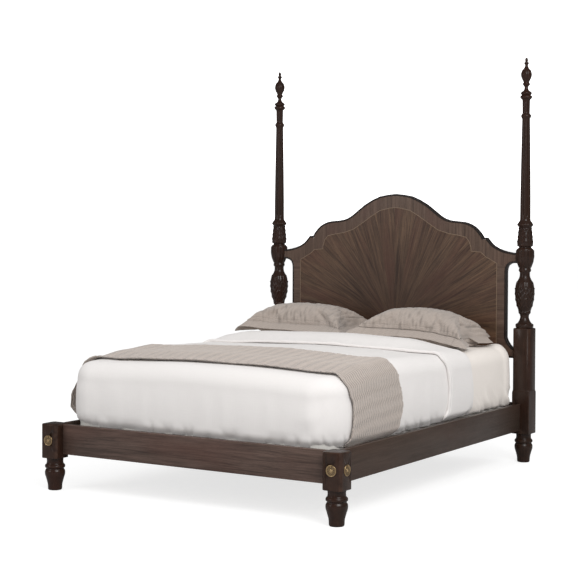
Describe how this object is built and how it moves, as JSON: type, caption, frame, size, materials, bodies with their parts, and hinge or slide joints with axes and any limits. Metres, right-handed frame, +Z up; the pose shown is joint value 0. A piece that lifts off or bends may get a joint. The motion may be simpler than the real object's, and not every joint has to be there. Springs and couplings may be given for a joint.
{
  "type": "poster bed",
  "caption": "Queen-size poster bed: tall turned head posts, low foot posts, arched sunburst headboard, rails, slats, mattress and layered bedding.",
  "frame": {"origin": "on the floor, at the middle of the bed's footprint", "axes": "+Z up; +Y towards the headboard; +X to the right of someone standing at the foot and looking at the headboard"},
  "size_m": [1.7386, 2.196, 2.2575],
  "materials": {
    "walnut": "dark espresso walnut, satin lacquer",
    "headboard_veneer": "sunburst walnut veneer with a light inlay line, satin lacquer",
    "slat_pine": "plain unfinished pine",
    "antique_brass": "aged, satin",
    "zinc_steel": "zinc plated",
    "ticking": "woven mattress ticking",
    "cream_sheet": "cream cotton sheeting",
    "white_cotton": "off-white cotton",
    "taupe_quilt": "taupe quilted cotton"
  },
  "bodies": {
    "bed_frame": {"bed_bolt_foot_left_front": "zinc_steel", "bed_bolt_foot_left_side": "zinc_steel", "bed_bolt_foot_right_front": "zinc_steel", "bed_bolt_foot_right_side": "zinc_steel", "bed_bolt_head_left_back": "zinc_steel", "bed_bolt_head_right_back": "zinc_steel", "box_spring": "ticking", "centre_beam": "slat_pine", "centre_leg_foot": "slat_pine", "centre_leg_head": "slat_pine", "cleat_left": "slat_pine", "cleat_right": "slat_pine", "cover_pin_foot_left_front": "antique_brass", "cover_pin_foot_left_side": "antique_brass", "cover_pin_foot_right_front": "antique_brass", "cover_pin_foot_right_side": "antique_brass", "cover_pin_head_left_back": "antique_brass", "cover_pin_head_right_back": "antique_brass", "duvet": "white_cotton", "duvet_fold": "white_cotton", "fitted_sheet": "cream_sheet", "foot_post_foot_left": "walnut", "foot_post_foot_right": "walnut", "foot_post_left": "walnut", "foot_post_right": "walnut", "front_rail": "walnut", "head_post_column_left": "walnut", "head_post_column_right": "walnut", "head_post_cup_left": "walnut", "head_post_cup_right": "walnut", "head_post_finial_left": "walnut", "head_post_finial_right": "walnut", "head_post_foot_left": "walnut", "head_post_foot_right": "walnut", "head_post_left": "walnut", "head_post_right": "walnut", "head_post_vase_left": "walnut", "head_post_vase_right": "walnut", "head_rail": "walnut", "headboard_moulding": "walnut", "headboard_panel": "headboard_veneer", "mattress": "ticking", "pillow_left": "taupe_quilt", "pillow_right": "taupe_quilt", "side_rail_left": "walnut", "side_rail_right": "walnut", "slat_1": "slat_pine", "slat_2": "slat_pine", "slat_3": "slat_pine", "slat_4": "slat_pine", "slat_5": "slat_pine", "throw": "taupe_quilt"},
    "cover_foot_left_front": {"bolt_cover_foot_left_front": "antique_brass"},
    "cover_foot_left_side": {"bolt_cover_foot_left_side": "antique_brass"},
    "cover_foot_right_front": {"bolt_cover_foot_right_front": "antique_brass"},
    "cover_foot_right_side": {"bolt_cover_foot_right_side": "antique_brass"},
    "cover_head_left_back": {"bolt_cover_head_left_back": "antique_brass"},
    "cover_head_right_back": {"bolt_cover_head_right_back": "antique_brass"}
  },
  "joints": [
    {"name": "cover_foot_left_front_swing", "type": "hinge", "parent": "bed_frame", "child": "cover_foot_left_front", "pos_m": [-0.8125, -1.092, 0.2695], "axis": [0, -1, 0], "range_deg": [-120, 120]},
    {"name": "cover_foot_left_side_swing", "type": "hinge", "parent": "bed_frame", "child": "cover_foot_left_side", "pos_m": [-0.8633, -1.0412, 0.2695], "axis": [-1, 0, 0], "range_deg": [-120, 120]},
    {"name": "cover_foot_right_front_swing", "type": "hinge", "parent": "bed_frame", "child": "cover_foot_right_front", "pos_m": [0.8125, -1.092, 0.2695], "axis": [0, -1, 0], "range_deg": [-120, 120]},
    {"name": "cover_foot_right_side_swing", "type": "hinge", "parent": "bed_frame", "child": "cover_foot_right_side", "pos_m": [0.8633, -1.0412, 0.2695], "axis": [1, 0, 0], "range_deg": [-120, 120]},
    {"name": "cover_head_left_back_swing", "type": "hinge", "parent": "bed_frame", "child": "cover_head_left_back", "pos_m": [-0.8125, 1.092, 0.2695], "axis": [0, 1, 0], "range_deg": [-120, 120]},
    {"name": "cover_head_right_back_swing", "type": "hinge", "parent": "bed_frame", "child": "cover_head_right_back", "pos_m": [0.8125, 1.092, 0.2695], "axis": [0, 1, 0], "range_deg": [-120, 120]}
  ]
}
